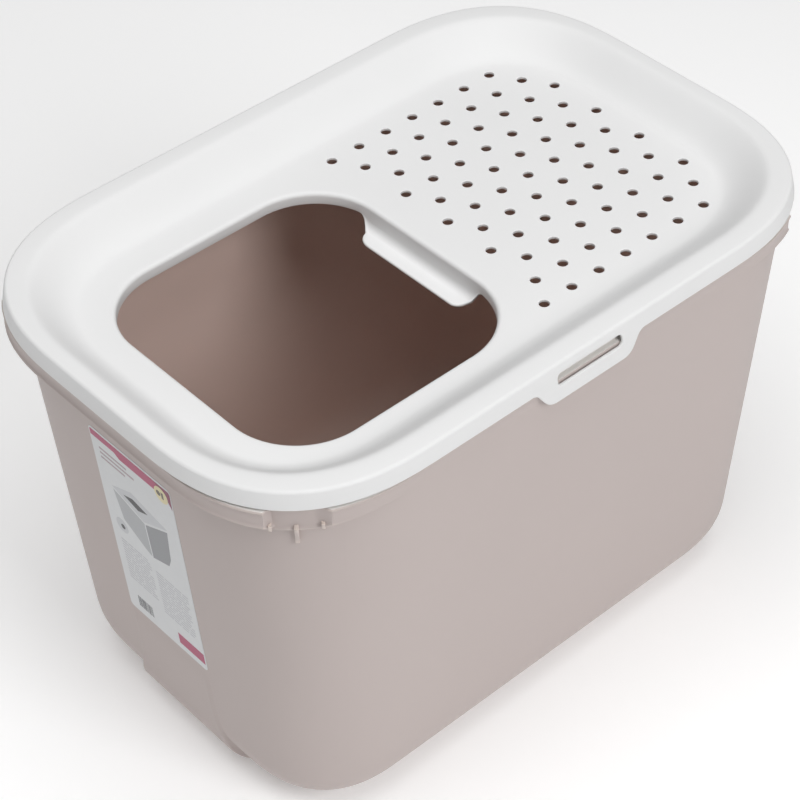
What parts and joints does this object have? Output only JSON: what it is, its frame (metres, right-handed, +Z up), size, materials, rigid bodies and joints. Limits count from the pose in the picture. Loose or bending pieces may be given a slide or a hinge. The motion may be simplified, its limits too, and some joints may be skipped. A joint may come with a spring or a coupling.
{
  "type": "cat litter box",
  "caption": "Top-entry cat litter box: a thin-walled tub with a rim flange and a hinged, dished lid with a rounded entry, a step lip, a perforated paw field and a slotted front pull tab.",
  "frame": {"origin": "on the floor, under the centre of the tub's flat base", "axes": "+X along the length, from the entry end to the perforated end; +Y from the front (pull tab) to the back (hinges); +Z up"},
  "size_m": [0.585, 0.4103, 0.395],
  "materials": {
    "tub_plastic": "satin moulded polypropylene, warm grey-taupe, fine matte texture",
    "lid_plastic": "satin moulded polypropylene, cool white",
    "pin_plastic": "smooth moulded nylon",
    "label_film": null
  },
  "bodies": {
    "tub": {"tub": "tub_plastic", "tub_hinge_left": "tub_plastic", "tub_hinge_right": "tub_plastic", "hinge_pin_left": "pin_plastic", "hinge_pin_right": "pin_plastic", "label": "label_film"},
    "lid": {"lid": "lid_plastic", "lid_hinge_left": "lid_plastic", "lid_hinge_right": "lid_plastic"},
    "front_tab": {"front_tab": "lid_plastic"}
  },
  "joints": [
    {"name": "lid_hinge", "type": "hinge", "parent": "tub", "child": "lid", "pos_m": [0, 0.206, 0.371], "axis": [-1, 0, 0], "range_deg": [0, 100]},
    {"name": "tab_flex", "type": "hinge", "parent": "lid", "child": "front_tab", "pos_m": [-0.002, -0.19688, 0.387], "axis": [-1, 0, 0], "range_deg": [0, 10], "stiffness_Nm_per_rad": 0.4}
  ]
}
